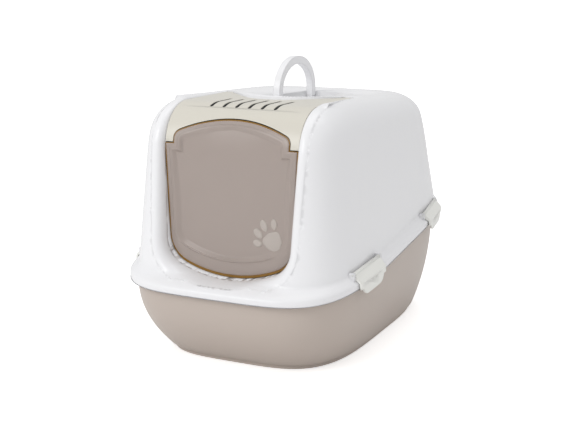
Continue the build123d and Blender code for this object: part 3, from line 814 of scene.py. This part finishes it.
class LITTERBOX_OT_door(bpy.types.Operator):
    """Make the swinging door: smoked, dished, with a rib, a paw shape and a tinted edge skirt whose dark
    amber is partly the plastic's tone and partly painted shade of the gap round it
    """

    bl_idname = "litter_box.door"
    bl_label = "Swinging door"

    def execute(self, context):
        colours, sizes = settings()
        dish = sizes.dish / MM
        outer = leaf(0.0, 138.5, 197.2, 42.2, 0.0)
        inner = leaf(8.0, 159.6, 190.0, 27.0, 7.5)
        leaf_mesh = stacked(door_rows(outer, inner, sizes.door_wall / MM, dish), "leaf")
        mesh = bmesh.new()
        for side in (1, -1):
            rod(mesh, 4.6, side * 88.5, side * ARCH_HALF, *DOOR_AXIS)
            rod(mesh, 2.0, side * 88.5, side * 103.5, *DOOR_AXIS)
        door = joined([leaf_mesh, as_object(mesh, "pins")], "door_leaf")
        smoked = smoked_plastic("Smoked see-through plastic", colours.door, sizes.edge / 2)
        finish(door, smoked, "door", "door_plastic", "swing_door")

        parts = [paw_piece(*toe, dish) for toe in PAW_TOES] + [paw_piece(*PAW_PAD, dish, lobes=0.07)]
        paw = joined(parts, "door_paw")
        frosted = smoked_plastic("Frosted see-through plastic", colours.paw, sizes.edge / 2)
        finish(paw, frosted, "door", "door_plastic")

        # a thin amber skirt round the door's edge, set in the gap: its dark colour is partly the tinted
        # plastic and partly painted shade of the gap
        rows = []
        for spread, proud in ((-0.5, -1.2), (1.0, -1.2), (1.0, -2.2), (-0.5, -2.2)):
            ring = []
            for x, z in outer:
                grow = 1.8 if z > SHOULDER - 2 else 2.2 + 1.9 * soft_step((172 - z) / 26)
                away = Vector((x - DOOR_CENTRE[0], z - DOOR_CENTRE[1])).normalized() * grow * spread
                ring.append(on_leaf(x + away.x, z + away.y, proud))
            rows.append(ring)
        gap_shade_skirt = looped(rows, "door_edge_gap_shade")
        amber_and_gap_shade = polypropylene("Amber edge and painted gap shade", colours.amber_and_gap_shade, sizes.edge / 4, 0.35)
        finish(gap_shade_skirt, amber_and_gap_shade, "door", "door_plastic")
        return {"FINISHED"}


# ---------------------------------------------------------------- handle
class LITTERBOX_OT_handle(bpy.types.Operator):
    """Make the carry handle: white arch on two pins"""

    bl_idname = "litter_box.handle"
    bl_label = "Carry handle"

    def execute(self, context):
        colours, sizes = settings()
        handle = copy_of("carry_handle", "handle_arch")
        material = polypropylene("White polypropylene handle", colours.hood, 1.6 * sizes.edge, 0.28)
        finish(handle, material, "handle", "hood_plastic", "carry_handle")
        return {"FINISHED"}


# ---------------------------------------------------------------- latches
class LITTERBOX_OT_latches(bpy.types.Operator):
    """Make the four side latches"""

    bl_idname = "litter_box.latches"
    bl_label = "Side latches"

    def execute(self, context):
        colours, sizes = settings()
        material = polypropylene("Off-white polypropylene", colours.latch, sizes.edge, 0.3)
        for node in [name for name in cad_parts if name.startswith("latch_")]:
            latch = copy_of(node, node + "_clip")
            finish(latch, material, node, "latch_plastic", node)
        return {"FINISHED"}


# ---------------------------------------------------------------- filter
class LITTERBOX_OT_filter(bpy.types.Operator):
    """Make the slotted filter holder and its carbon foam pad"""

    bl_idname = "litter_box.filter"
    bl_label = "Odour filter"

    def execute(self, context):
        colours, sizes = settings()
        holder = copy_of("filter_holder", "filter_tray")
        finish(
            holder,
            polypropylene("Pale greige holder", colours.panel, sizes.edge / 2, 0.34),
            "panel",
            "panel_plastic",
            "filter_holder",
        )
        foam = copy_of("carbon_filter", "filter_pad")
        finish(foam, carbon_foam_and_shade("Carbon foam", colours.foam), "panel", "filter_foam", "carbon_filter")
        return {"FINISHED"}


# ---------------------------------------------------------------- stage
def add_light(name, place, aim, power, width, height):
    light = bpy.data.lights.new(name, "AREA")
    light.energy = power
    light.shape = "RECTANGLE"
    light.size = width
    light.size_y = height
    obj = bpy.data.objects.new(name, light)
    obj.location = place
    obj.rotation_euler = (Vector(aim) - Vector(place)).to_track_quat("-Z", "Y").to_euler()
    bpy.context.scene.collection.objects.link(obj)


class LITTERBOX_OT_stage(bpy.types.Operator):
    """Make the white studio: floor, soft light and camera"""

    bl_idname = "litter_box.stage"
    bl_label = "Studio"

    def execute(self, context):
        studio = context.scene.litter_box_studio
        mesh = bmesh.new()
        bmesh.ops.create_grid(mesh, x_segments=1, y_segments=1, size=60)
        floor = as_object(mesh, "floor")
        white = bpy.data.materials.new("White studio floor")
        white.use_nodes = True
        shader = white.node_tree.nodes["Principled BSDF"]
        shader.inputs["Base Color"].default_value = (0.97, 0.97, 0.97, 1)
        shader.inputs["Roughness"].default_value = 0.6
        shader.inputs["Emission Color"].default_value = (1, 1, 1, 1)
        glow_tree = white.node_tree
        seen = put(glow_tree, "ShaderNodeLightPath")
        # the floor glows for the camera alone, so that it reads as white without lighting the box
        glow = put(glow_tree, "ShaderNodeMath", {"operation": "MULTIPLY"}, {1: 0.5}, {0: seen.outputs[0]})
        glow_tree.links.new(glow.outputs[0], shader.inputs["Emission Strength"])
        floor.data.materials.append(white)
        world = bpy.data.worlds.new("White surround")
        context.scene.world = world
        world.use_nodes = True
        tree = world.node_tree
        ray = put(tree, "ShaderNodeLightPath")
        surround = put(
            tree,
            "ShaderNodeMapRange",
            values={"To Min": studio.sky, "To Max": 1.0},
            links={"Value": ray.outputs["Is Camera Ray"]},
        )
        background = tree.nodes["Background"]
        background.inputs["Color"].default_value = (1, 1, 1, 1)
        tree.links.new(surround.outputs["Result"], background.inputs["Strength"])
        add_light("key", (-0.9, -2.4, 1.7), (0, 0, 0.2), studio.key, 1.6, 1.2)
        add_light("top", (0.1, 0.2, 2.4), (0, 0, 0.2), studio.key * 0.35, 1.6, 1.6)
        context.scene.view_settings.view_transform = "Standard"
        lens = bpy.data.cameras.new("camera")
        lens.lens = 69.84
        lens.sensor_width = 36
        camera = bpy.data.objects.new("camera", lens)
        camera.location = (0.75747, -1.60402, 0.57390)
        target = Vector((-0.01472, -0.00726, 0.18940))
        camera.rotation_euler = (target - camera.location).to_track_quat("-Z", "Y").to_euler()
        context.scene.collection.objects.link(camera)
        context.scene.camera = camera
        return {"FINISHED"}


class LITTERBOX_PT_panel(bpy.types.Panel):
    """Lists the settings and the steps"""

    bl_idname = "LITTERBOX_PT_panel"
    bl_label = "Litter Box"
    bl_space_type = "VIEW_3D"
    bl_region_type = "UI"
    bl_category = "Litter Box"

    def draw(self, context):
        for group in GROUPS:
            for name in group.__annotations__:
                self.layout.prop(getattr(context.scene, GROUPS[group]), name)
        for step in STEPS:
            self.layout.operator(step.bl_idname)


GROUPS = {
    LitterBoxColours: "litter_box_colours",
    LitterBoxSizes: "litter_box_sizes",
    LitterBoxStudio: "litter_box_studio",
}
STEPS = (
    LITTERBOX_OT_tray,
    LITTERBOX_OT_hood,
    LITTERBOX_OT_panel,
    LITTERBOX_OT_door,
    LITTERBOX_OT_handle,
    LITTERBOX_OT_latches,
    LITTERBOX_OT_filter,
    LITTERBOX_OT_stage,
)


def register():
    for group, name in GROUPS.items():
        bpy.utils.register_class(group)
        setattr(bpy.types.Scene, name, bpy.props.PointerProperty(type=group))
    for step in STEPS:
        bpy.utils.register_class(step)
    bpy.utils.register_class(LITTERBOX_PT_panel)


def unregister():
    bpy.utils.unregister_class(LITTERBOX_PT_panel)
    for step in reversed(STEPS):
        bpy.utils.unregister_class(step)
    for group, name in GROUPS.items():
        delattr(bpy.types.Scene, name)
        bpy.utils.unregister_class(group)


def main():
    register()
    for step in STEPS:
        group, name = step.bl_idname.split(".")
        getattr(getattr(bpy.ops, group), name)()


if __name__ == "__main__":
    main()
